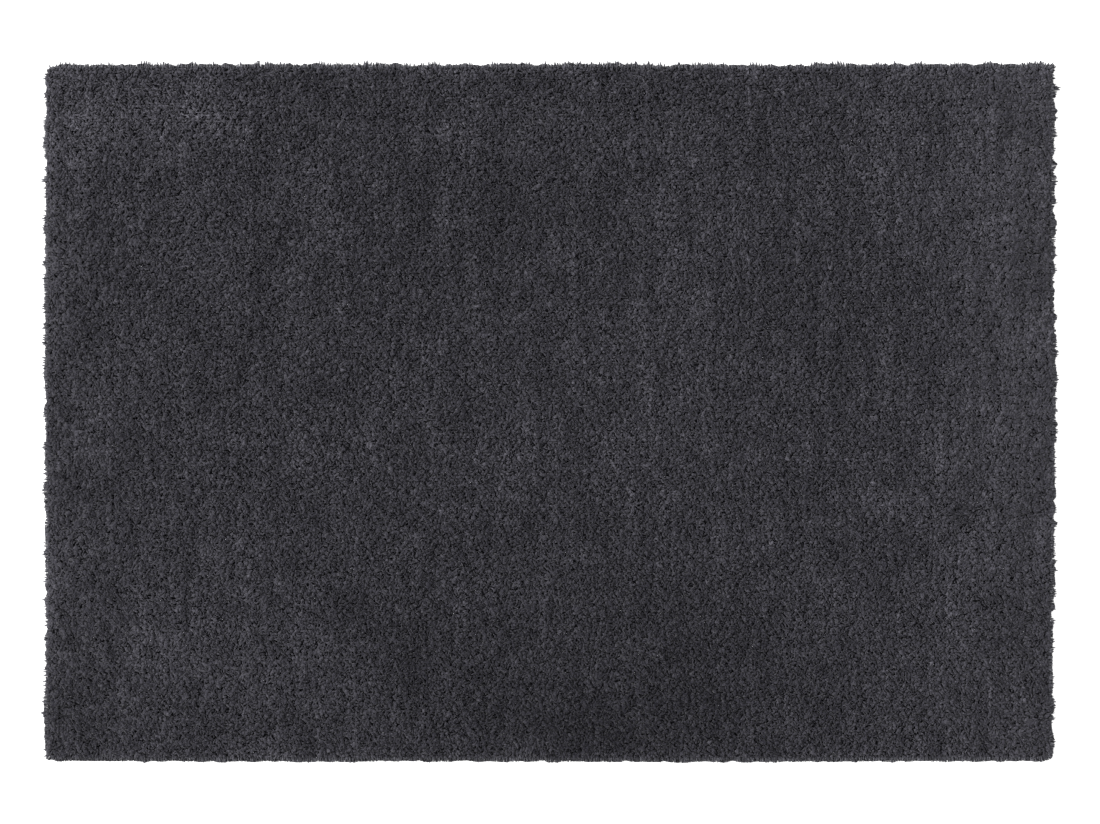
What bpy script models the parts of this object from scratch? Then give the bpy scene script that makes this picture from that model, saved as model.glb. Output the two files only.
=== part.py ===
"""A shag rug: one tufted slab, flat underneath and lumpy on top, with locks of yarn out round its rim.

Metres, +Z up. The origin is at the middle of the underside. +X runs along the long side and +Y along
the short one, so that seen from above, with +Y up, the sides are called top, bottom, left and right.
"""

import math
import random

import bmesh
import bpy
from mathutils import Vector

NAME = "shag_rug"
SEED = 17

# Driving dimensions
LENGTH = 2.900  # along X, between the pile's mean edges
WIDTH = 2.000  # along Y, between the pile's mean edges
PILE_TOP = 0.028  # floor to the pile's mean top
CORNER_RADIUS = 0.026

# The rim, as a section from the top face down to the floor
ROOT_INSET = 0.003  # the wall that the locks grow from, inside the mean edge
SHOULDER_INSET = 0.013  # the top face's own edge, inside the wall
SHOULDER_Z = 0.019
FOOT_INSET = 0.005  # the underside's edge, inside the wall

# Lumps: the top face's cells, each drawn up to a point in its middle
CELLS_X = 44
CELLS_Y = 30
LUMP_RISE = (0.0030, 0.0090)  # of a lump's middle above the mean top
LUMP_DIP = (0.0040, 0.0095)  # of the hollows between lumps, below it
RIM_DIP = (0.0000, 0.0045)  # of the top face's own edge, below it
HOLLOW_DRIFT = 0.24  # how far a hollow may stray, as a share of a cell
PEAK_DRIFT = 0.10

# Locks: one on each half cell of the rim
LOCK_REACH = {"top": 0.0125, "bottom": 0.0070, "left": 0.0110, "right": 0.0140}
LOCK_SPREAD = (0.35, 1.0)  # a lock's reach, as a share of its side's longest
LOCK_WAIST_AT = 0.50  # where it narrows, as a share of its reach
LOCK_WAIST_WIDTH = 0.56  # of its root's width
LOCK_WAIST_HEIGHT = 0.62
LOCK_TIP_Z = (0.0040, 0.0170)
LOCK_LEAN = 0.0070  # sideways, at the tip

# How far each side stands out from its mean line: (share of the side, how far out).
# Shares run left to right along the top and bottom, and top to bottom along the left and right.
SIDE_WAVES = {
    "top": (
        (0.00, -0.0020),
        (0.15, 0.0000),
        (0.35, -0.0007),
        (0.55, 0.0009),
        (0.65, -0.0014),
        (1.00, 0.0015),
    ),
    "bottom": (
        (0.00, -0.0005),
        (0.25, 0.0007),
        (0.40, -0.0008),
        (0.65, 0.0016),
        (1.00, -0.0010),
    ),
    "left": (
        (0.00, 0.0028),
        (0.15, 0.0007),
        (0.35, -0.0008),
        (0.55, 0.0010),
        (0.65, -0.0020),
        (1.00, -0.0014),
    ),
    "right": (
        (0.00, 0.0013),
        (0.20, -0.0013),
        (0.45, 0.0034),
        (0.55, 0.0032),
        (0.85, -0.0039),
        (1.00, -0.0014),
    ),
}

# Where the pile stands up or lies flat: (x, y, reach along x, reach along y, rise)
UNEVEN = (
    (-0.95, 0.88, 0.17, 0.12, 0.0030),  # stands up, top left
    (-0.79, -0.06, 0.20, 0.18, 0.0015),
    (-0.86, -0.68, 0.20, 0.16, 0.0015),
    (0.38, 0.04, 0.22, 0.20, 0.0015),
    (0.84, -0.54, 0.18, 0.16, 0.0015),
    (1.22, 0.14, 0.15, 0.66, 0.0030),  # stands up, along the right end
    (0.16, -0.80, 0.66, 0.15, -0.0025),  # lies flat, along the bottom
    (-0.32, 0.50, 0.24, 0.18, -0.0020),
    (0.85, 0.38, 0.17, 0.17, -0.0020),
)

# The levels that the rim's rings are built on, before the shape is given to them
TOP_LEVEL = 2.0
SHOULDER_LEVEL = 1.0
FOOT_LEVEL = 0.0
ON_RIM = 1e-5  # a cage vertex this near to the outline lies on it

# Yarn, as linear RGB
YARN_COLOR = (0.046, 0.044, 0.052, 1.0)
YARN_ROUGHNESS = 0.95


def clear_scene():
    for item in list(bpy.data.objects):
        bpy.data.objects.remove(item, do_unlink=True)


def yarn_material():
    material = bpy.data.materials.new("charcoal_yarn")
    material.use_nodes = True
    shader = material.node_tree.nodes["Principled BSDF"]
    shader.inputs["Base Color"].default_value = YARN_COLOR
    shader.inputs["Roughness"].default_value = YARN_ROUGHNESS
    shader.inputs["Metallic"].default_value = 0.0
    return material


def clamp(value, reach):
    return max(-reach, min(reach, value))


def wave(side, share):
    """How far out a side stands at a share of its length, eased from one row of its table to the next."""
    rows = SIDE_WAVES[side]
    for (start, low), (end, high) in zip(rows, rows[1:]):
        if share <= end:
            part = max(0.0, (share - start) / (end - start))
            return low + (high - low) * part * part * (3.0 - 2.0 * part)
    return rows[-1][1]


def side_of(direction):
    """The side that an outward direction belongs to."""
    if abs(direction.x) > abs(direction.y):
        return "right" if direction.x > 0 else "left"
    return "top" if direction.y > 0 else "bottom"


def outline(x, y, inset):
    """A point of the square-cornered outline, moved onto the rug's own and then in by inset."""
    core = Vector((clamp(x, LENGTH / 2 - CORNER_RADIUS), clamp(y, WIDTH / 2 - CORNER_RADIUS), 0.0))
    out = (Vector((x, y, 0.0)) - core).normalized()
    along_x = x / LENGTH + 0.5
    along_y = 0.5 - y / WIDTH
    wave_x = wave("right" if x > 0 else "left", along_y)
    wave_y = wave("top" if y > 0 else "bottom", along_x)
    bulge = wave_x * out.x**2 + wave_y * out.y**2
    return core + out * (CORNER_RADIUS + bulge - ROOT_INSET - inset)


def unevenness(x, y):
    """The pile's own slow rise and fall."""
    rise = 0.0
    for centre_x, centre_y, reach_x, reach_y, height in UNEVEN:
        away = ((x - centre_x) / reach_x) ** 2 + ((y - centre_y) / reach_y) ** 2
        rise += height * math.exp(-away)
    return rise


def by_place(points):
    """Sorts vertices by where they are, so that each takes the same random numbers however they were made."""
    return sorted(points, key=lambda vert: vert.co.to_tuple(5))


def slab_cage(bm):
    """The slab as a flat cage of square outline, with whole numbers for its levels. Gives the top's cells."""
    bmesh.ops.create_grid(bm, x_segments=CELLS_X, y_segments=CELLS_Y, size=0.5)
    bmesh.ops.scale(bm, vec=(LENGTH, WIDTH, 1.0), verts=bm.verts)
    bmesh.ops.translate(bm, vec=(0.0, 0.0, TOP_LEVEL), verts=bm.verts)
    rim = [edge for edge in bm.edges if edge.is_boundary]
    bmesh.ops.subdivide_edges(bm, edges=rim, cuts=1)
    # The cut leaves a small triangle at each corner, which stays flat.
    cells = [face for face in bm.faces if len(face.verts) > 3]
    for level in (SHOULDER_LEVEL, FOOT_LEVEL):
        rim = [edge for edge in bm.edges if edge.is_boundary]
        ring = bmesh.ops.extrude_edge_only(bm, edges=rim)["geom"]
        for vert in ring:
            if isinstance(vert, bmesh.types.BMVert):
                vert.co.z = level
    bmesh.ops.edgeloop_fill(bm, edges=[edge for edge in bm.edges if edge.is_boundary])
    return cells


def shape_slab(bm, rng):
    """Gives the cage its outline, its section at the rim, and the hollows of its top."""
    drift_x = HOLLOW_DRIFT * LENGTH / CELLS_X
    drift_y = HOLLOW_DRIFT * WIDTH / CELLS_Y
    # The cage is as wide as the outline, so the top face draws in towards its own smaller edge.
    draw = 1.0 - 2.0 * (ROOT_INSET + SHOULDER_INSET) / WIDTH
    for vert in by_place(bm.verts):
        x, y, level = vert.co
        on_rim = LENGTH / 2 - abs(x) < ON_RIM or WIDTH / 2 - abs(y) < ON_RIM
        if level == TOP_LEVEL and on_rim:
            vert.co = outline(x, y, SHOULDER_INSET)
            vert.co.z = PILE_TOP + unevenness(x, y) - rng.uniform(*RIM_DIP)
        elif level == TOP_LEVEL:
            vert.co.x = x * draw + rng.uniform(-drift_x, drift_x)
            vert.co.y = y * draw + rng.uniform(-drift_y, drift_y)
            vert.co.z = PILE_TOP + unevenness(x, y) - rng.uniform(*LUMP_DIP)
        elif level == SHOULDER_LEVEL:
            vert.co = outline(x, y, 0.0)
            vert.co.z = SHOULDER_Z
        else:
            vert.co = outline(x, y, FOOT_INSET)


def raise_lumps(bm, cells, rng):
    """Draws each cell of the top up to a point near its middle."""
    drift_x = PEAK_DRIFT * LENGTH / CELLS_X
    drift_y = PEAK_DRIFT * WIDTH / CELLS_Y
    for peak in by_place(bmesh.ops.poke(bm, faces=cells)["verts"]):
        peak.co.x += rng.uniform(-drift_x, drift_x)
        peak.co.y += rng.uniform(-drift_y, drift_y)
        peak.co.z = PILE_TOP + unevenness(peak.co.x, peak.co.y) + rng.uniform(*LUMP_RISE)


def wall_faces(bm):
    """The faces between the shoulder and the foot, sorted by where they are."""
    walls = []
    for face in bm.faces:
        heights = [vert.co.z for vert in face.verts]
        if len(heights) == 4 and min(heights) == 0.0 < max(heights):
            walls.append(face)
    return sorted(walls, key=lambda face: face.calc_center_median().to_tuple(5))


def grow_locks(bm, rng):
    """Draws each wall face out to a narrow waist and from there to a drooping tip."""
    for wall in wall_faces(bm):
        out = Vector((wall.normal.x, wall.normal.y, 0.0)).normalized()
        along = Vector((-out.y, out.x, 0.0))
        reach = LOCK_REACH[side_of(out)] * rng.uniform(*LOCK_SPREAD)
        lean = rng.uniform(-LOCK_LEAN, LOCK_LEAN)
        tip_z = rng.uniform(*LOCK_TIP_Z)

        waist = bmesh.ops.extrude_discrete_faces(bm, faces=[wall])["faces"][0]
        middle = waist.calc_center_median()
        centre = middle + out * reach * LOCK_WAIST_AT + along * lean * LOCK_WAIST_AT
        for vert in waist.verts:
            offset = vert.co - middle
            side = along * offset.dot(along) * LOCK_WAIST_WIDTH
            vert.co = centre + side + Vector((0.0, 0.0, offset.z * LOCK_WAIST_HEIGHT))

        tip = bmesh.ops.poke(bm, faces=[waist])["verts"][0]
        tip.co = middle + out * reach + along * lean
        tip.co.z = tip_z


def make_rug():
    rng = random.Random(SEED)
    bm = bmesh.new()
    cells = slab_cage(bm)
    shape_slab(bm, rng)
    raise_lumps(bm, cells, rng)
    bmesh.ops.recalc_face_normals(bm, faces=bm.faces)
    grow_locks(bm, rng)
    bmesh.ops.recalc_face_normals(bm, faces=bm.faces)
    mesh = bpy.data.meshes.new(NAME)
    bm.to_mesh(mesh)
    bm.free()
    mesh.materials.append(yarn_material())
    return bpy.data.objects.new(NAME, mesh)


def main():
    clear_scene()
    collection = bpy.data.collections.new("Shag rug")
    bpy.context.scene.collection.children.link(collection)
    collection.objects.link(make_rug())


main()
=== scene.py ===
"""A shag rug's looks: a core of pressed roots with a woven underside, a dense fleece of bushy charcoal
yarn ends on top, loose strands that lie over them, and locks and single tips that hang out over the rim.

Metres, +Z up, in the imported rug's frame: +X along the long side and +Y along the short one. Seen from
above with +Y up, the sides are called top, bottom, left and right.
"""

import math

import bpy
import numpy as np
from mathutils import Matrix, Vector


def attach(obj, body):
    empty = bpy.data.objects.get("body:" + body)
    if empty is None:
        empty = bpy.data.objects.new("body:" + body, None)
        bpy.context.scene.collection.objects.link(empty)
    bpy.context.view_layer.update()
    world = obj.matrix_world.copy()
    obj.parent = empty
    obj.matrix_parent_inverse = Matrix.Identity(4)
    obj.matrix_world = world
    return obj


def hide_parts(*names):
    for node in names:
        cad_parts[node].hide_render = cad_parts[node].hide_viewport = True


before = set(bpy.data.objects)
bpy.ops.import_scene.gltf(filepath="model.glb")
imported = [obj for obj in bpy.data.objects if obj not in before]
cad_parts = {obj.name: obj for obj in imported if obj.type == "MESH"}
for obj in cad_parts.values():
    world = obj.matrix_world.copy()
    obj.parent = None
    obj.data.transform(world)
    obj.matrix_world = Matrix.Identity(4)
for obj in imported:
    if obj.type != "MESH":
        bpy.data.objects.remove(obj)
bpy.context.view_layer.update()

NODE = "shag_rug"
BODY = "root"
SEED = 29
TURN = 2 * math.pi
TINY = 1e-9

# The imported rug's underside ends this far inside the pile's mean edge, and its points lie this low.
FOOT_INSET = 0.008
ON_FLOOR = 0.0005
FIELD_GAIN = 1.5  # brings a smooth field's spread to about one

# The core: the roots of the pile, pressed together
CORE_TOP = 0.0120  # floor to its mean top
CORE_RIM_Z = 0.0110  # where its wall ends
CORE_RIM_INSET = {"top": 0.003, "bottom": -0.002, "left": 0.003, "right": 0.002}  # of its wall
CORE_SHOULDER = 0.020  # how far in its top has its full height
CORE_CELL = 0.0180  # its mesh
CORE_STRAY = 0.30  # how far a point of the mesh may stray, as a share of its cell
CORE_ROUGH = 0.0010  # how far it may stand up or lie down
CORE_RELIEF = 0.0005  # and how far wider stretches do
CORE_LUMP = 0.020

# Yarn ends, in staggered rows. Each widens from a point in the core to its crown and closes to a tip.
PITCH = 0.0082
SCATTER = 0.25  # how far an end may stray, as a share of the pitch
ROOT_Z = 0.0060
PILE_TOP = 0.0292  # the mean height of the tips
TOP_SPREAD = 0.0028
TOP_LIMIT = 0.0090  # no tip stands further from the mean than this
CROWN_SIDES = 4
CROWN_RADIUS = 0.0057
CROWN_SPREAD = 0.34
CROWN_AT = 0.50  # the crown's height, as a share of the tip's
CROWN_LEAN = 0.26  # how far it follows the tip sideways
CROWN_STRAY = 0.0006
CROWN_TILT = 0.86  # how far a crown may slope, as a share of its radius
CROWN_HEIGHT = 0.60  # where it is on the yarn's map
REACH = 0.0130  # how far a tip lies from its root
REACH_SPREAD = 0.05
SWIRL = 0.14  # how much neighbours lie the same way
SWIRL_CELL = 0.050
DRIFT = 0.14  # and wide stretches of the pile
DRIFT_CELL = (0.10, 0.14)
SETTLE = 0.0013  # slow rise and fall of the top
SETTLE_CELL = 0.028

# Loose strands, over the yarn ends. Each comes up from a point, bends over at its knee and ends blunt.
STRAND_PITCH = 0.0175
STRAND_SCATTER = 0.45
STRAND_SIDES = 3
STRAND_ROOT_Z = 0.0120
STRAND_TOP = 0.0291
STRAND_REACH = 0.0110
STRAND_REACHES = (0.5, 1.2)  # shortest and longest, as shares of it
STRAND_RADIUS = 0.0019
STRAND_WIDTHS = (1.00, 0.85)  # of the rings at the knee and near the end
STRAND_HEIGHTS = (0.40, 0.94)  # where the rings are on the yarn's map
STRAND_KNEE = 0.25  # where it bends over, as a share of its reach
STRAND_CURL = 0.0020  # how far the knee may lie to one side
STRAND_DROP = 0.10  # how much lower the end is, as a share of the reach
STRAND_SET_BACK = 0.2  # how far behind its start it is rooted, as a share of its reach
STRAND_SPREAD = 0.15  # of the radii
TWIST = 0.7  # how far the end is turned against the knee
RADIUS_LIMITS = (0.5, 1.6)  # thinnest and thickest yarn, as shares of the mean

# The rim: tufts near it lean out and down, and are painted paler, as painted light where more light reaches
# the rim
RIM_BARE = 0.007  # none of them grows nearer to the mean edge
RIM_REACH = 0.030  # how far in they lean
RIM_LEAN = 0.010
RIM_LEAN_FADE = 1.5  # how fast the lean fades inwards
RIM_DROP = 0.006
RIM_MARGIN = 0.003  # how far inside the rim's line they end
# Painted light: how much paler the rim's tone is painted, and how fast that fades inwards
RIM_PAINTED_LIGHT = 0.55
RIM_PAINTED_LIGHT_REACH = 0.009

# The rim's own line, out from the mean edge: where it lies, how it wanders and how ragged it is
LINE_STEP = 0.002
EDGE_BASE = {"top": 0.0041, "bottom": 0.0063, "left": 0.0053, "right": 0.0052}
EDGE_WANDER_CELLS = (0.150, 0.055, 0.022, 0.011)
EDGE_WANDER = {
    "top": (0.0000, 0.0004, 0.0010, 0.0014),
    "bottom": (0.0000, 0.0004, 0.0009, 0.0004),
    "left": (0.0016, 0.0009, 0.0010, 0.0014),
    "right": (0.0007, 0.0016, 0.0016, 0.0016),
}
# What each corner reaches further out than its sides do: (x side, y side, reach)
CORNERS = ((-1, 1, -0.0050), (1, 1, 0.0165), (-1, -1, 0.0175), (1, -1, 0.0015))
CORNER_SIZE = 0.018
EDGE_STRAY = {"top": 0.0003, "bottom": 0.0001, "left": 0.0003, "right": 0.0003}

# Locks: the rim's tufts, in three rows, which gather a little towards ends at uneven spaces
LOCK_PITCH = {"top": 0.021, "bottom": 0.020, "left": 0.016, "right": 0.022}
LOCK_REACH = {"top": 0.0004, "bottom": 0.0001, "left": 0.0003, "right": 0.0004}
LOCK_SPACES = (0.35, 1.85)  # from one lock to the next, as a share of the pitch
LOCK_GATHER = 0.08
LOCK_RADIUS = 0.0028
LOCK_WIDTHS = (1.00, 0.50)  # of its rings at the knee and near the end
LOCK_SPREAD = 0.2  # of the radii
LOCK_SPACING = 0.0048  # from one tuft of a row to the next
LOCK_KNEE_INSET = 0.006
LOCK_KNEE_LEAN = 0.3  # how far the knee follows the end sideways
# Painted light: the locks' and tips' tone is lifted paler, as if more light reached the rim
LOCK_PAINTED_LIGHT = 0.80
RIM_PAINTED_LIGHT_TINT = (1.09, 1.12, 1.10)  # painted light: the locks' and tips' yarn made paler than the pile's, as if lit more at the rim
LOCK_ROWS = (
    # inset of the root, its height, the knee's height, the end's lowest and highest, the end's inset
    (0.010, 0.0030, 0.0060, 0.0024, 0.0060, 0.0000),
    (0.013, 0.0070, 0.0130, 0.0060, 0.0130, 0.0004),
    (0.016, 0.0100, 0.0215, 0.0120, 0.0200, 0.0015),
)
LOWEST = 0.0004  # no point of the pile lies lower

# Tips: single thin ends that stand out past the locks, most of them only just
TIP_SPACING = 0.0052
TIP_REACH = {"top": 0.0038, "bottom": 0.0008, "left": 0.0033, "right": 0.0030}  # their mean
TIP_LONGEST = 2.2  # the longest, as a share of the mean
TIP_GROUPS = 1.2  # how unevenly they stand out along the rim
TIP_GROUP_CELL = 0.016
TIP_RADIUS = 0.0031
TIP_SPREAD = 0.2  # of the radii
TIP_WIDTHS = (1.00, 0.45)
TIP_ROOT = (0.014, 0.0060)  # how far in from the line it starts, and how high
TIP_KNEE = 0.0030  # how far in from the line it has its full width
TIP_HEIGHTS = (0.0040, 0.0110)
TIP_DROOP = 0.8  # the end's height, as a share of the knee's
TIP_STRAY = 0.0012

# Yarn, as linear RGB, from the darkest tufts to the palest
YARN_TONES = (
    (0.00, (0.0160, 0.0155, 0.0180)),
    (0.25, (0.0264, 0.0256, 0.0298)),
    (0.50, (0.0435, 0.0421, 0.0490)),
    (0.75, (0.0718, 0.0694, 0.0808)),
    (1.00, (0.1182, 0.1145, 0.1330)),
)
DYE = (0.0, -0.0003, 0.0035)  # added to them all: the darkest are the bluest
# The roots are the same charcoal yarn, painted darker than the pile's as painted shade in the pits between
# the tufts
CORE_COLOR_WITH_PAINTED_SHADE = (0.0180, 0.0172, 0.0219)
TONE_SPAN = 2.0  # the palest is e to this power times as pale as the darkest
TONE_SPREAD = 0.165  # from tuft to tuft
TONE_PATCH = 0.09  # and in small patches
TONE_PATCH_CELL = 0.042
STREAK = 0.10  # and in streaks along the short side
STREAK_CELL = (0.012, 0.22)
CLOUD = 0.06  # and in wide stretches
CLOUD_CELL = 0.15
COLUMNS = 48  # a tuft takes up one column's width of its map
ROOT_PAINTED_SHADE = 0.42  # painted shade: the yarn at the root, as a share of its colour at its end, darker where the pile's gaps are in shade
MOTTLE_SCALE = 140.0  # from tuft to tuft
MOTTLE_SHADES = (0.78, 1.22)
FIBRES = 22.0  # round a yarn
FIBRE_LENGTHS = 3.5  # how many run after one another up it
FIBRE_SHADES = (0.40, 1.60)
FIBRE_BUMP = 0.80
FIBRE_DEPTH = 0.003
HAIR_SCALE = 360.0
HAIR_SHADES = (0.50, 1.50)
HAIR_RELIEF = 0.75
PLY_TURNS = 3.0  # round the yarn, from its root to its end
# Painted shade: the plies' grooves are darker than their crests
PLY_PAINTED_SHADES = (0.92, 1.06)
PLY_RELIEF = 0.05
NOISE_RANGE = (0.3, 0.7)  # where most of a noise's values lie
YARN_ROUGHNESS = (0.98, 0.82)
SPECULAR = 0.09
SHEEN = 0.14
SHEEN_ROUGHNESS = 0.5

# The pressed roots, and the woven ground of the underside
CURL_SCALE = 240.0
CURL_SHADES = (0.25, 1.75)
CURL_BUMP = 1.0
CURL_DEPTH = 0.004
TUFT_SCALE = 90.0
ROOT_ROUGHNESS = (1.00, 0.85)
GROUND_COLOR = (0.095, 0.090, 0.092)
GROUND_PITCH = 0.0036  # two threads each way
GROUND_SHADES = (0.75, 1.15)
GROUND_ROUGHNESS = (0.95, 0.82)
GROUND_SHEEN = 0.05
GROUND_BUMP = 0.6
GROUND_DEPTH = 0.0008
SLUB_SCALE = 160.0
SLUB_SHADES = (0.80, 1.20)

# Broad patches, paler or darker: (x, y, reach along x, reach along y, tone)
PATCHES = (
    (-1.01, 0.90, 0.12, 0.10, 0.52),  # top left
    (-1.30, 0.84, 0.26, 0.16, 0.42),
    (-1.32, 0.03, 0.26, 1.00, -0.10),  # along the left end
    (1.22, 0.09, 0.21, 0.95, 0.10),  # along the right end
    (0.98, 0.87, 0.08, 0.20, 0.30),
    (1.18, 0.71, 0.08, 0.14, 0.14),
    (1.12, -0.43, 0.13, 0.11, 0.15),
    (0.14, -0.90, 0.29, 0.17, -0.60),  # along the bottom
    (-0.34, -0.78, 0.26, 0.20, -0.33),
    (0.52, -0.76, 0.29, 0.20, -0.33),
    (0.09, -0.66, 0.75, 0.31, -0.15),
    (-0.32, 0.49, 0.32, 0.26, -0.18),
    (0.82, 0.33, 0.17, 0.30, -0.28),
    (-0.79, -0.05, 0.07, 0.11, 0.18),
    (-0.88, -0.68, 0.11, 0.13, 0.18),
    (-0.57, -0.20, 0.11, 0.17, 0.15),
    (-1.35, -0.88, 0.22, 0.14, -0.40),
    (-0.72, -0.94, 0.17, 0.07, -0.27),
    (0.37, 0.03, 0.14, 0.17, 0.12),
    (0.86, -0.54, 0.20, 0.17, 0.15),
)

# Calm stretches, where the pile lies evener: (x, y, reach along x, reach along y, how much calmer)
CALM = (
    (1.42, 0.45, 0.26, 1.30, 0.62),  # along the right end
    (-1.42, -0.30, 0.28, 1.40, 0.50),  # along the left end
    (-0.95, -0.85, 0.60, 0.35, 0.25),  # bottom left
)
LIVELY = 1.05  # how lively the rest is
CALMEST = 0.30  # no place is calmer
CALM_WIDTH = 0.12  # how much wider the yarn ends are where it is quite calm
CALM_CROWN = 0.50  # and how much higher their crowns, as a share of the tip's height

PILE_PIECES = 5

# Camera and light
PHOTO = (1100, 824)
PHOTO_PIXEL = 0.002875
CAMERA_AT = (0.00115, 0.0014)
LENS = 100.0
SENSOR = 36.0
KEY_ELEVATION = math.radians(40.0)
KEY_AZIMUTH = math.radians(172.0)
KEY_WIDTH = math.radians(12.0)
KEY_STRENGTH = 3.66
SKY_STRENGTH = 1.0
FLOOR_SIZE = 30.0
WHITE = (1.0, 1.0, 1.0, 1.0)
FLOOR_COLOR = (0.85, 0.85, 0.85, 1.0)
FLOOR_ROUGHNESS = 0.9
FLOOR_GLOW = 0.55  # keeps it as white as the photograph's ground


# ---------------------------------------------------------------- fields and outline


def smooth_field(rng, places, cell_x, cell_y=None):
    """A smooth random number for each place, with a spread of about one."""
    cell = np.array([cell_x, cell_y or cell_x])
    reach = np.abs(places).max(axis=0) + 2 * cell
    knots = rng.standard_normal(tuple((2 * reach / cell).astype(int)[::-1] + 2))
    at = (places + reach) / cell
    low = np.floor(at).astype(int)
    part = at - low
    part = part * part * (3 - 2 * part)
    column, row = low.T
    right, up = part.T
    below = knots[row, column] * (1 - right) + knots[row, column + 1] * right
    above = knots[row + 1, column] * (1 - right) + knots[row + 1, column + 1] * right
    return (below * (1 - up) + above * up) * FIELD_GAIN


def mean_edge():
    """The pile's mean edge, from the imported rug's underside: points in order round it, and the ways out."""
    places = np.array([vert.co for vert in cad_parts[NODE].data.vertices])
    foot = np.unique(places[places[:, 2] < ON_FLOOR][:, :2].round(5), axis=0)
    foot = foot[np.argsort(np.arctan2(foot[:, 1], foot[:, 0]))]
    along = np.roll(foot, -1, axis=0) - np.roll(foot, 1, axis=0)
    out = np.stack([along[:, 1], -along[:, 0]], axis=1)
    out /= np.linalg.norm(out, axis=1, keepdims=True)
    return foot + out * FOOT_INSET, out


def inside_edge(places, edge):
    """How far inside the edge each place lies, and the way out from there."""
    best = np.full(len(places), np.inf)
    depth = np.full(len(places), np.inf)
    out = np.zeros((len(places), 2))
    for start, end in zip(edge, np.roll(edge, -1, axis=0)):
        step = end - start
        length = np.hypot(*step)
        normal = np.array([step[1], -step[0]]) / length
        away = places - start
        share = np.clip(away @ step / length**2, 0, 1)
        gap = np.linalg.norm(away - share[:, None] * step, axis=1)
        nearer = gap < best
        best[nearer] = gap[nearer]
        depth[nearer] = -(away[nearer] @ normal)
        out[nearer] = normal
    return depth, out


def side_names(out):
    """The side that each outward direction belongs to."""
    across = np.abs(out[:, 0]) > np.abs(out[:, 1])
    sides = np.where(out[:, 0] > 0, "right", "left")
    return np.where(across, sides, np.where(out[:, 1] > 0, "top", "bottom"))


def by_side(table, out):
    """A table's value for the side that each outward direction belongs to."""
    return np.array([table[name] for name in side_names(out)])


def broad(places, patches):
    """What broad soft patches add up to at each place."""
    total = np.zeros(len(places))
    for x, y, reach_x, reach_y, rise in patches:
        away = ((places[:, 0] - x) / reach_x) ** 2 + ((places[:, 1] - y) / reach_y) ** 2
        total += rise * np.exp(-away)
    return total


def liveliness(places):
    """How unevenly the pile lies at each place, against the mean."""
    return np.maximum(LIVELY - broad(places, CALM), CALMEST)


# ---------------------------------------------------------------- meshes from arrays


def mesh_from(name, points, corners, sizes):
    """A smooth mesh from points and faces, the faces as one long row of corners with each face's size."""
    mesh = bpy.data.meshes.new(name)
    mesh.vertices.add(len(points))
    mesh.vertices.foreach_set("co", points.astype(np.float32).ravel())
    mesh.loops.add(len(corners))
    mesh.loops.foreach_set("vertex_index", corners.astype(np.int32))
    mesh.polygons.add(len(sizes))
    starts = np.concatenate([[0], np.cumsum(sizes)[:-1]])
    mesh.polygons.foreach_set("loop_start", starts.astype(np.int32))
    mesh.update(calc_edges=True)
    mesh.shade_smooth()
    return mesh


def crown_pattern():
    """One yarn end's faces: point, turn round it and height up it for each corner, and each face's size."""
    corners = []
    tip = CROWN_SIDES + 1
    for side in range(CROWN_SIDES):
        here, beside = 1 + side, 1 + (side + 1) % CROWN_SIDES
        first, last = side / CROWN_SIDES, (side + 1) / CROWN_SIDES
        middle = (first + last) / 2
        corners += [(0, middle, 0.0), (beside, last, CROWN_HEIGHT), (here, first, CROWN_HEIGHT)]
        corners += [(tip, middle, 1.0), (here, first, CROWN_HEIGHT), (beside, last, CROWN_HEIGHT)]
    return np.array(corners), np.full(2 * CROWN_SIDES, 3)


def strand_pattern():
    """The same for a strand: a cone up to the knee, a prism along it and a flat end."""
    corners = []
    sizes = []
    knee, close = STRAND_HEIGHTS
    for side in range(STRAND_SIDES):
        here, beside = 1 + side, 1 + (side + 1) % STRAND_SIDES
        first, last = side / STRAND_SIDES, (side + 1) / STRAND_SIDES
        corners += [(0, (first + last) / 2, 0.0), (here, first, knee), (beside, last, knee)]
        corners += [(here, first, knee), (here + STRAND_SIDES, first, close)]
        corners += [(beside + STRAND_SIDES, last, close), (beside, last, knee)]
        sizes += [3, 4]
    # The flat end is one triangle, the second ring's points turned round.
    corners += [(6, 1.0, close), (5, 0.5, 1.0), (4, 0.0, close)]
    sizes.append(3)
    return np.array(corners), np.array(sizes)


def pattern_mesh(name, points, pattern, tones):
    """A mesh of many equal parts from their points, (n, points of each, 3), with the yarn's map."""
    corners, sizes = pattern
    count, each = points.shape[:2]
    index = corners[:, 0][None] + np.arange(count)[:, None] * each
    mesh = mesh_from(name, points.reshape(-1, 3), index.ravel(), np.tile(sizes, count))
    across = tones[:, None] * (1 - 1 / COLUMNS) + corners[:, 1][None] / COLUMNS
    height = np.broadcast_to(corners[:, 2][None], across.shape)
    layer = mesh.uv_layers.new(name="OFBake")
    layer.uv.foreach_set("vector", np.stack([across, height], axis=2).astype(np.float32).ravel())
    return mesh


def crown_points(rng, roots, crowns, tips, radii, steepest):
    """The points of each yarn end: its root, its crown, which slopes up to its steepest, and its tip."""
    count = len(roots)
    spin = rng.uniform(0, TURN, count)[:, None]
    turns = spin + np.arange(CROWN_SIDES) * TURN / CROWN_SIDES
    slope = (rng.random(count) * steepest)[:, None]
    slope = slope * np.cos(turns - rng.uniform(0, TURN, count)[:, None])
    ring = np.stack([np.cos(turns), np.sin(turns), slope], axis=2) * radii[:, None, None]
    return np.concatenate([roots[:, None], crowns[:, None] + ring, tips[:, None]], axis=1)


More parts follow.
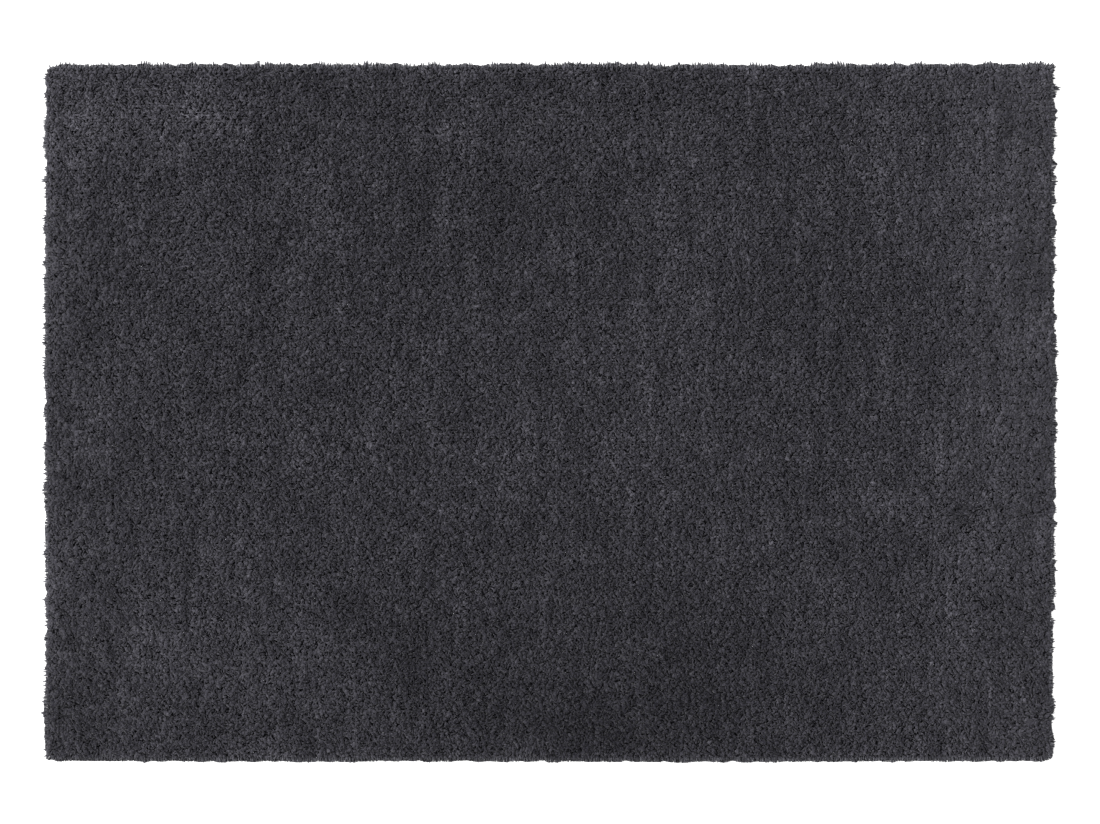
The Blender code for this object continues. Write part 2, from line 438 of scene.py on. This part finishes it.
def strand_points(rng, spines, radii, widths=STRAND_WIDTHS):
    """The points of each strand from its spine, (n, 3, 3): its root, and rings at its knee and its end."""
    count = len(spines)
    along = np.gradient(spines, axis=1)
    along /= np.linalg.norm(along, axis=2, keepdims=True)
    spin = rng.uniform(0, TURN, count)
    start = np.stack([np.cos(spin), np.sin(spin), np.zeros(count)], axis=1)[:, None]
    side = np.cross(along, start)
    side /= np.maximum(np.linalg.norm(side, axis=2, keepdims=True), TINY)
    over = np.cross(side, along)
    turns = np.arange(STRAND_SIDES) * TURN / STRAND_SIDES + np.arange(2)[:, None] * TWIST
    turns = turns[None, :, :, None]
    ring = side[:, 1:, None] * np.cos(turns) + over[:, 1:, None] * np.sin(turns)
    ring *= radii[:, None, None, None] * np.array(widths)[None, :, None, None]
    points = (spines[:, 1:, None] + ring).reshape(count, -1, 3)
    points = np.concatenate([spines[:, :1], points], axis=1)
    points[..., 2] = np.maximum(points[..., 2], LOWEST)
    return points


def place(name, mesh, *materials):
    """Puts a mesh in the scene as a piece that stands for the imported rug."""
    for material in materials:
        mesh.materials.append(material)
    piece = bpy.data.objects.new(name, mesh)
    bpy.context.scene.collection.objects.link(piece)
    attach(piece, BODY)
    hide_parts(NODE)
    return piece


# ---------------------------------------------------------------- materials


class Nodes:
    """Adds and joins the nodes of one material."""

    def __init__(self, name):
        self.material = bpy.data.materials.new(name)
        self.material.use_nodes = True
        self.tree = self.material.node_tree
        self.shader = self.tree.nodes["Principled BSDF"]

    def add(self, kind, inputs=(), **settings):
        """A node with its settings, and its inputs by name or number: a socket is linked, a value is set."""
        node = self.tree.nodes.new(kind)
        for key, value in settings.items():
            setattr(node, key, value)
        for key, value in dict(inputs).items():
            self.feed(node.inputs[key], value)
        return node

    def feed(self, socket, value):
        if isinstance(value, bpy.types.NodeSocket):
            self.tree.links.new(value, socket)
        else:
            socket.default_value = value

    def math(self, operation, *values):
        return self.add("ShaderNodeMath", enumerate(values), operation=operation).outputs[0]

    def scaled(self, value, low, high, start=0.0, end=1.0):
        """value from start to end becomes low to high."""
        inputs = {"Value": value, "From Min": start, "From Max": end, "To Min": low, "To Max": high}
        return self.add("ShaderNodeMapRange", inputs).outputs["Result"]

    def noise(self, place, scale, detail=2.0):
        inputs = {"Vector": place, "Scale": scale, "Detail": detail}
        return self.add("ShaderNodeTexNoise", inputs).outputs["Fac"]

    def times(self, color, factor):
        inputs = {0: color, "Scale": factor}
        return self.add("ShaderNodeVectorMath", inputs, operation="SCALE").outputs[0]

    def bump(self, height, strength, distance):
        inputs = {"Height": height, "Strength": strength, "Distance": distance}
        return self.add("ShaderNodeBump", inputs).outputs["Normal"]


def set_cloth(nodes, sheen):
    shader = nodes.shader
    shader.inputs["Specular IOR Level"].default_value = SPECULAR
    shader.inputs["Sheen Weight"].default_value = sheen
    shader.inputs["Sheen Roughness"].default_value = SHEEN_ROUGHNESS


def yarn_material(name, tint=(1.0, 1.0, 1.0)):
    """Yarn whose map has its tone across and its height up, with plies, fibres that run up it and hairs, and
    painted shade that darkens it towards its root and in the grooves between its plies.
    """
    nodes = Nodes(name)
    spot = nodes.add("ShaderNodeUVMap", uv_map="OFBake").outputs["UV"]
    parts = nodes.add("ShaderNodeSeparateXYZ", {0: spot}).outputs
    across, height = parts["X"], parts["Y"]
    ramp = nodes.add("ShaderNodeValToRGB", {"Fac": across})
    stops = ramp.color_ramp.elements
    for number, (at, color) in enumerate(YARN_TONES):
        stop = stops[number] if number < 2 else stops.new(at)
        stop.position = at
        stop.color = (*(part * share for part, share in zip(color, tint)), 1.0)
    round_it = nodes.math("MULTIPLY", across, COLUMNS)
    beside = nodes.math("MULTIPLY", round_it, FIBRES)
    along = nodes.math("MULTIPLY", height, FIBRE_LENGTHS)
    unrolled = nodes.add("ShaderNodeCombineXYZ", {"X": beside, "Y": along}).outputs[0]
    fibres = nodes.noise(unrolled, 1.0, 2.0)
    spot = nodes.add("ShaderNodeTexCoord").outputs["Object"]
    mottle = nodes.noise(spot, MOTTLE_SCALE, 1.0)
    hairs = nodes.noise(spot, HAIR_SCALE, 2.0)
    turn = nodes.math("MULTIPLY", round_it, TURN)
    climb = nodes.math("MULTIPLY", height, PLY_TURNS * TURN)
    plies = nodes.math("SINE", nodes.math("ADD", turn, climb))
    # Painted shade: the yarn darkens towards its root, where the pile's gaps are in shade.
    shade = nodes.scaled(height, ROOT_PAINTED_SHADE, 1.0)
    shade = nodes.math("MULTIPLY", shade, nodes.scaled(fibres, *FIBRE_SHADES, *NOISE_RANGE))
    shade = nodes.math("MULTIPLY", shade, nodes.scaled(mottle, *MOTTLE_SHADES, *NOISE_RANGE))
    shade = nodes.math("MULTIPLY", shade, nodes.scaled(hairs, *HAIR_SHADES, *NOISE_RANGE))
    # Painted shade: the plies are darker in the grooves between them.
    shade = nodes.math("MULTIPLY", shade, nodes.scaled(plies, *PLY_PAINTED_SHADES, -1.0, 1.0))
    color = nodes.times(ramp.outputs["Color"], shade)
    color = nodes.add("ShaderNodeVectorMath", {0: color, 1: DYE}, operation="ADD").outputs[0]
    nodes.feed(nodes.shader.inputs["Base Color"], color)
    nodes.feed(nodes.shader.inputs["Roughness"], nodes.scaled(hairs, *YARN_ROUGHNESS, *NOISE_RANGE))
    relief = nodes.math("ADD", fibres, nodes.math("MULTIPLY", hairs, HAIR_RELIEF))
    relief = nodes.math("ADD", relief, nodes.math("MULTIPLY", plies, PLY_RELIEF))
    nodes.feed(nodes.shader.inputs["Normal"], nodes.bump(relief, FIBRE_BUMP, FIBRE_DEPTH))
    set_cloth(nodes, SHEEN)
    return nodes.material


def core_material():
    """The pressed roots between the tufts: short curls of the same yarn, painted darker than the pile's as
    painted shade in the pits.
    """
    nodes = Nodes("pile_roots_painted_shade")
    spot = nodes.add("ShaderNodeTexCoord").outputs["Object"]
    curls = nodes.noise(spot, CURL_SCALE, 3.0)
    tufts = nodes.noise(spot, TUFT_SCALE, 1.0)
    shade = nodes.scaled(curls, *CURL_SHADES, *NOISE_RANGE)
    nodes.feed(nodes.shader.inputs["Base Color"], nodes.times(CORE_COLOR_WITH_PAINTED_SHADE, shade))
    nodes.feed(nodes.shader.inputs["Roughness"], nodes.scaled(curls, *ROOT_ROUGHNESS, *NOISE_RANGE))
    relief = nodes.math("ADD", curls, tufts)
    nodes.feed(nodes.shader.inputs["Normal"], nodes.bump(relief, CURL_BUMP, CURL_DEPTH))
    set_cloth(nodes, SHEEN)
    return nodes.material


def ground_material():
    """The woven ground fabric of the underside: a plain weave of uneven thread."""
    nodes = Nodes("woven_ground")
    spot = nodes.add("ShaderNodeTexCoord").outputs["Object"]
    parts = nodes.add("ShaderNodeSeparateXYZ", {0: spot}).outputs
    warp = nodes.math("SINE", nodes.math("MULTIPLY", parts["X"], TURN / GROUND_PITCH))
    weft = nodes.math("SINE", nodes.math("MULTIPLY", parts["Y"], TURN / GROUND_PITCH))
    weave = nodes.math("MULTIPLY", warp, weft)
    slubs = nodes.noise(spot, SLUB_SCALE, 3.0)
    shade = nodes.scaled(weave, *GROUND_SHADES, -1.0, 1.0)
    shade = nodes.math("MULTIPLY", shade, nodes.scaled(slubs, *SLUB_SHADES, *NOISE_RANGE))
    nodes.feed(nodes.shader.inputs["Base Color"], nodes.times(GROUND_COLOR, shade))
    nodes.feed(nodes.shader.inputs["Roughness"], nodes.scaled(slubs, *GROUND_ROUGHNESS, *NOISE_RANGE))
    nodes.feed(nodes.shader.inputs["Normal"], nodes.bump(weave, GROUND_BUMP, GROUND_DEPTH))
    set_cloth(nodes, GROUND_SHEEN)
    return nodes.material


# ---------------------------------------------------------------- the core


def core_grid(edge):
    """Grid places over the whole rug, the outermost on its wall: (rows, columns, 2)."""
    half = np.abs(edge).max(axis=0)
    columns = int(2 * half[0] / CORE_CELL) + 1
    rows = int(2 * half[1] / CORE_CELL) + 1
    x, y = np.meshgrid(np.linspace(-1, 1, columns), np.linspace(-1, 1, rows))
    square = np.stack([x, y], axis=2).reshape(-1, 2)
    flat = square * half
    depth, out = inside_edge(flat, edge)
    # Only the outermost places are drawn to the wall's line.
    outermost = np.abs(square).max(axis=1) > 1 - TINY
    misfit = (depth - by_side(CORE_RIM_INSET, out)) * outermost
    flat = flat + out * misfit[:, None]
    return flat.reshape(rows, columns, 2)


def core_mesh(rng, edge):
    """A closed slab: a lumpy top that falls to the rim, a low wall and a flat underside."""
    grid = core_grid(edge)
    rows, columns = grid.shape[:2]
    inner = np.zeros((rows, columns, 1))
    inner[1:-1, 1:-1] = 1.0
    grid = grid + rng.uniform(-CORE_STRAY, CORE_STRAY, grid.shape) * CORE_CELL * inner
    flat = grid.reshape(-1, 2)
    depth, _ = inside_edge(flat, edge)
    rise = np.clip((depth - depth.min()) / CORE_SHOULDER, 0, 1)
    rise = 1 - (1 - rise) ** 2
    lumps = smooth_field(rng, flat, CORE_LUMP) * CORE_RELIEF
    lumps += rng.uniform(-CORE_ROUGH, CORE_ROUGH, len(flat))
    height = CORE_RIM_Z + (CORE_TOP - CORE_RIM_Z + lumps) * rise
    top = np.column_stack([flat, height])
    number = np.arange(rows * columns).reshape(rows, columns)
    quads = [number[:-1, :-1], number[:-1, 1:], number[1:, 1:], number[1:, :-1]]
    quads = np.stack(quads, axis=-1).reshape(-1, 4)
    rim = np.concatenate([number[0, :-1], number[:-1, -1], number[-1, :0:-1], number[:0:-1, 0]])
    foot = np.column_stack([flat[rim], np.zeros(len(rim))])
    below = np.arange(len(rim)) + len(top)
    wall = np.stack([below, np.roll(below, -1), np.roll(rim, -1), rim], axis=1)
    corners = np.concatenate([quads.ravel(), wall.ravel(), below[::-1]])
    sizes = np.concatenate([np.full(len(quads) + len(wall), 4), [len(rim)]])
    return mesh_from("core", np.concatenate([top, foot]), corners, sizes)


def make_core(rng, edge):
    """The core, whose last face, the underside, is the woven ground."""
    mesh = core_mesh(rng, edge)
    piece = place("rug_core", mesh, core_material(), ground_material())
    underside = mesh.polygons[len(mesh.polygons) - 1]
    underside.material_index = 1
    underside.use_smooth = False
    return piece


# ---------------------------------------------------------------- the pile


def tuft_roots(rng, edge, pitch, scatter):
    """Places in staggered rows, each a little out of line, with their depth and way out."""
    half = np.abs(edge).max(axis=0)
    columns, rows = (2 * half / pitch).astype(int)
    x, y = np.meshgrid(np.arange(columns) * pitch, np.arange(rows) * pitch)
    x = x + (np.arange(rows) % 2)[:, None] * pitch / 2
    roots = np.stack([x, y], axis=2).reshape(-1, 2)
    roots += pitch / 2 - half + rng.uniform(-scatter, scatter, roots.shape) * pitch
    depth, out = inside_edge(roots, edge)
    kept = depth > RIM_BARE
    return roots[kept], depth[kept], out[kept]


def tuft_leans(rng, roots, depth, out):
    """Which way each yarn end leans, and how far its tip is from its root."""
    turn = rng.uniform(0, TURN, len(roots))
    own = np.stack([np.cos(turn), np.sin(turn)], axis=1)
    own *= (1 - REACH_SPREAD * rng.random(len(roots)))[:, None]
    for axis in (0, 1):
        own[:, axis] += SWIRL * smooth_field(rng, roots, SWIRL_CELL)
        own[:, axis] += DRIFT * smooth_field(rng, roots, *DRIFT_CELL)
    return kept_in(own * REACH, depth, out, RIM_LEAN)


def kept_in(lean, depth, out, rim_lean):
    """Leans that point out near the rim, but not beyond its line. An end is half its lean from its place."""
    near = np.clip(1 - depth / RIM_REACH, 0, 1)
    outward = (lean * out).sum(axis=1)
    wanted = outward - np.minimum(outward, 0) * near + near**RIM_LEAN_FADE * rim_lean
    furthest = 2 * (depth + by_side(EDGE_BASE, out) - RIM_MARGIN)
    return lean + (np.minimum(wanted, furthest) - outward)[:, None] * out


def tuft_tops(rng, roots, depth, mean, spread):
    """How high each tip stands."""
    near = np.clip(1 - depth / RIM_REACH, 0, 1)
    rise = rng.standard_normal(len(roots)) * spread * liveliness(roots)
    rise += smooth_field(rng, roots, SETTLE_CELL) * SETTLE
    return mean + np.clip(rise, -TOP_LIMIT, TOP_LIMIT) - near**2 * RIM_DROP


def tuft_tones(rng, roots):
    """Each tuft's place on the yarn's scale of tones, from 0 to 1."""
    tone = rng.standard_normal(len(roots)) * TONE_SPREAD * liveliness(roots)
    tone += smooth_field(rng, roots, TONE_PATCH_CELL) * TONE_PATCH
    tone += smooth_field(rng, roots, *STREAK_CELL) * STREAK
    tone += smooth_field(rng, roots, CLOUD_CELL) * CLOUD
    return tone + broad(roots, PATCHES)


def painted_rim_light(depth):
    """Painted light: how much paler the pile is painted near the rim, where more light reaches it."""
    return RIM_PAINTED_LIGHT * np.exp(-np.maximum(depth, 0) / RIM_PAINTED_LIGHT_REACH)


def on_scale(tone):
    """A tone as its place on the yarn's scale, from 0 to 1."""
    return np.clip(0.5 + tone / TONE_SPAN, 0, 1)


def spread_radii(rng, count, radius, spread):
    return radius * np.clip(1 + rng.standard_normal(count) * spread, *RADIUS_LIMITS)


def make_pile(rng, edge, yarn):
    """The yarn ends of the top, in strips along the long side."""
    places, depth, out = tuft_roots(rng, edge, PITCH, SCATTER)
    count = len(places)
    lean = tuft_leans(rng, places, depth, out)
    top = tuft_tops(rng, places, depth, PILE_TOP, TOP_SPREAD)
    # Each root is set back, so that the middle of its yarn lies over its own place.
    start = places - lean / 2
    roots = np.column_stack([start, np.full(count, ROOT_Z)])
    stray = rng.standard_normal((count, 2)) * CROWN_STRAY
    lively = liveliness(places)
    crown_z = ROOT_Z + (top - ROOT_Z) * (CROWN_AT + CALM_CROWN * (1 - lively))
    crowns = np.column_stack([start + lean * CROWN_LEAN + stray, crown_z])
    tips = np.column_stack([start + lean, top])
    radii = spread_radii(rng, count, CROWN_RADIUS, CROWN_SPREAD) * (1 + CALM_WIDTH * (1 - lively))
    points = crown_points(rng, roots, crowns, tips, radii, CROWN_TILT * lively)
    # The tones are painted paler near the rim: painted light.
    tones = on_scale(tuft_tones(rng, places) + painted_rim_light(depth))
    order = np.argsort(places[:, 0], kind="stable")
    pieces = []
    for number, part in enumerate(np.array_split(order, PILE_PIECES), start=1):
        mesh = pattern_mesh(f"pile_{number}", points[part], crown_pattern(), tones[part])
        pieces.append(place(f"pile_{number}", mesh, yarn))
    return pieces


def make_strands(rng, edge, yarn):
    """The loose strands over the yarn ends."""
    places, depth, out = tuft_roots(rng, edge, STRAND_PITCH, STRAND_SCATTER)
    count = len(places)
    turn = rng.uniform(0, TURN, count)
    reach = rng.uniform(*STRAND_REACHES, count) * STRAND_REACH
    lean = np.stack([np.cos(turn), np.sin(turn)], axis=1) * reach[:, None]
    lean = kept_in(lean, depth, out, RIM_LEAN)
    top = tuft_tops(rng, places, depth, STRAND_TOP, TOP_SPREAD / 2)
    sideways = np.stack([-np.sin(turn), np.cos(turn)], axis=1)
    curl = sideways * rng.standard_normal(count)[:, None] * STRAND_CURL
    start = places - lean / 2
    root = np.column_stack([start - lean * STRAND_SET_BACK, np.full(count, STRAND_ROOT_Z)])
    knee = np.column_stack([start + lean * STRAND_KNEE + curl, top])
    end = np.column_stack([start + lean, top - reach * STRAND_DROP])
    radii = spread_radii(rng, count, STRAND_RADIUS, STRAND_SPREAD)
    points = strand_points(rng, np.stack([root, knee, end], axis=1), radii)
    # The tones are painted paler near the rim: painted light.
    tones = on_scale(tuft_tones(rng, places) + painted_rim_light(depth))
    return place("loose_strands", pattern_mesh("loose_strands", points, strand_pattern(), tones), yarn)


# ---------------------------------------------------------------- locks at the rim


def walk(edge, out, spacing):
    """Places at even spaces along the edge, their ways out, and how far along it each is."""
    ends = np.concatenate([edge, edge[:1]])
    ways = np.concatenate([out, out[:1]])
    along = np.concatenate([[0], np.cumsum(np.linalg.norm(np.diff(ends, axis=0), axis=1))])
    at = np.arange(int(along[-1] / spacing)) * spacing
    places = np.stack([np.interp(at, along, ends[:, axis]) for axis in (0, 1)], axis=1)
    outward = np.stack([np.interp(at, along, ways[:, axis]) for axis in (0, 1)], axis=1)
    return places, outward / np.linalg.norm(outward, axis=1, keepdims=True), at


def lock_ends(rng, edge, out):
    """Where along the edge each lock ends, the reach it adds, and its side's pitch."""
    _, ways, at = walk(edge, out, LINE_STEP)
    names = side_names(ways)
    ends = []
    here = 0.0
    while here < at[-1]:
        name = names[min(int(here / LINE_STEP), len(names) - 1)]
        ends.append((here, LOCK_REACH[name] * rng.uniform(-1, 1), LOCK_PITCH[name]))
        here += LOCK_PITCH[name] * rng.uniform(*LOCK_SPACES)
    return np.array(ends)


def rim_line(rng, edge, out):
    """How far out from the mean edge the rim lies, without its locks and tips, at even steps along it."""
    places, ways, at = walk(edge, out, LINE_STEP)
    line = by_side(EDGE_BASE, ways)
    wander = by_side(EDGE_WANDER, ways)
    for number, cell in enumerate(EDGE_WANDER_CELLS):
        line = line + smooth_field(rng, places, cell) * wander[:, number]
    half = np.abs(edge).max(axis=0)
    for x, y, reach in CORNERS:
        off = np.linalg.norm(places - half * (x, y), axis=1)
        line = line + np.exp(-((off / CORNER_SIZE) ** 2)) * reach
    return at, line


def along_rim(rng, edge, out, spacing):
    """Places round the mean edge, a little out of step, with the ways out and along and how far on."""
    places, ways, at = walk(edge, out, spacing)
    sideways = np.stack([-ways[:, 1], ways[:, 0]], axis=1)
    shift = rng.uniform(-0.5, 0.5, len(at)) * spacing
    return places + sideways * shift[:, None], ways, sideways, at + shift


def lock_row(rng, edge, out, line, ends, row):
    """Spines of one row of tufts, which grow from the core's wall and gather towards the locks' ends."""
    inset, root_z, knee_z, low, high, end_inset = row
    places, ways, sideways, at = along_rim(rng, edge, out, LOCK_SPACING)
    count = len(at)
    nearest = np.abs(at[:, None] - ends[None, :, 0]).argmin(axis=1)
    end_at, longer, pitch = ends[nearest].T
    off = np.clip((end_at - at) / (pitch / 2), -1, 1)
    stray = rng.standard_normal((2, count)) * by_side(EDGE_STRAY, ways)
    reach = np.interp(at, *line) - end_inset + longer * (1 - off**2) + stray[0]
    lean = off * (pitch / 2) * LOCK_GATHER + stray[1]
    root = np.column_stack([places - ways * inset, np.full(count, root_z)])
    knee = places - ways * LOCK_KNEE_INSET + sideways * lean[:, None] * LOCK_KNEE_LEAN
    knee = np.column_stack([knee, np.full(count, knee_z)])
    end = places + ways * reach[:, None] + sideways * lean[:, None]
    end = np.column_stack([end, rng.uniform(low, high, count)])
    return np.stack([root, knee, end], axis=1), tuft_tones(rng, places)


def make_locks(rng, edge, out, line, yarn):
    """The locks that hang out over the rim."""
    ends = lock_ends(rng, edge, out)
    rows = [lock_row(rng, edge, out, line, ends, row) for row in LOCK_ROWS]
    spines = np.concatenate([row[0] for row in rows])
    # Their tone is lifted paler: painted light at the rim.
    tones = on_scale(np.concatenate([row[1] for row in rows]) + LOCK_PAINTED_LIGHT)
    radii = spread_radii(rng, len(spines), LOCK_RADIUS, LOCK_SPREAD)
    points = strand_points(rng, spines, radii, LOCK_WIDTHS)
    return place("rim_locks", pattern_mesh("rim_locks", points, strand_pattern(), tones), yarn)


def make_tips(rng, edge, out, line, yarn):
    """The single tips that stand out past the locks."""
    places, ways, sideways, at = along_rim(rng, edge, out, TIP_SPACING)
    count = len(at)
    start = places + ways * np.interp(at, *line)[:, None]
    longer = rng.standard_exponential(count)
    longer *= np.clip(1 + smooth_field(rng, places, TIP_GROUP_CELL) * TIP_GROUPS, 0, None)
    longer = by_side(TIP_REACH, ways) * np.minimum(longer, TIP_LONGEST)
    stray = rng.standard_normal(count) * TIP_STRAY
    height = rng.uniform(*TIP_HEIGHTS, count)
    root = np.column_stack([start - ways * TIP_ROOT[0], np.full(count, TIP_ROOT[1])])
    knee = np.column_stack([start - ways * TIP_KNEE, height])
    end = start + ways * longer[:, None] + sideways * stray[:, None]
    end = np.column_stack([end, height * TIP_DROOP])
    radii = spread_radii(rng, count, TIP_RADIUS, TIP_SPREAD)
    points = strand_points(rng, np.stack([root, knee, end], axis=1), radii, TIP_WIDTHS)
    # Their tone is lifted paler: painted light at the rim.
    tones = on_scale(tuft_tones(rng, places) + LOCK_PAINTED_LIGHT)
    return place("rim_tips", pattern_mesh("rim_tips", points, strand_pattern(), tones), yarn)


# ---------------------------------------------------------------- stage


def make_floor():
    """A wide pale floor under the rug."""
    nodes = Nodes("pale_floor")
    nodes.shader.inputs["Base Color"].default_value = FLOOR_COLOR
    nodes.shader.inputs["Roughness"].default_value = FLOOR_ROUGHNESS
    nodes.shader.inputs["Emission Color"].default_value = WHITE
    nodes.shader.inputs["Emission Strength"].default_value = FLOOR_GLOW
    bpy.ops.mesh.primitive_plane_add(size=FLOOR_SIZE)
    floor = bpy.context.object
    floor.name = "floor"
    floor.data.materials.append(nodes.material)
    return floor


def make_light():
    """A white room and one soft key light, which comes from the left at half height."""
    world = bpy.data.worlds.new("studio")
    world.use_nodes = True
    sky = world.node_tree.nodes["Background"]
    sky.inputs["Color"].default_value = WHITE
    sky.inputs["Strength"].default_value = SKY_STRENGTH
    bpy.context.scene.world = world
    key = bpy.data.objects.new("key", bpy.data.lights.new("key", "SUN"))
    key.data.energy = KEY_STRENGTH
    key.data.angle = KEY_WIDTH
    flat = math.cos(KEY_ELEVATION)
    back = Vector((math.cos(KEY_AZIMUTH) * flat, math.sin(KEY_AZIMUTH) * flat, math.sin(KEY_ELEVATION)))
    key.rotation_euler = back.to_track_quat("Z", "Y").to_euler()
    bpy.context.scene.collection.objects.link(key)


def make_camera():
    """Straight down over the middle, at the height where a pixel is as large as in the photograph."""
    camera = bpy.data.objects.new("camera", bpy.data.cameras.new("camera"))
    camera.data.lens = LENS
    camera.data.sensor_width = SENSOR
    wide = PHOTO[0] * PHOTO_PIXEL
    camera.location = (*CAMERA_AT, PILE_TOP + wide * LENS / SENSOR)
    bpy.context.scene.collection.objects.link(camera)
    bpy.context.scene.camera = camera


def main():
    rng = np.random.default_rng(SEED)
    bpy.context.scene.view_settings.view_transform = "Standard"
    edge, out = mean_edge()
    yarn = yarn_material("charcoal_yarn")
    # The locks and tips get a paler copy of the yarn: painted light at the rim.
    rim_yarn_painted_light = yarn_material("rim_yarn_painted_light", RIM_PAINTED_LIGHT_TINT)
    core = make_core(rng, edge)
    pile = make_pile(rng, edge, yarn)
    pile.append(make_strands(rng, edge, yarn))
    line = rim_line(rng, edge, out)
    pile.append(make_locks(rng, edge, out, line, rim_yarn_painted_light))
    pile.append(make_tips(rng, edge, out, line, rim_yarn_painted_light))
    make_floor()
    make_light()
    make_camera()


main()
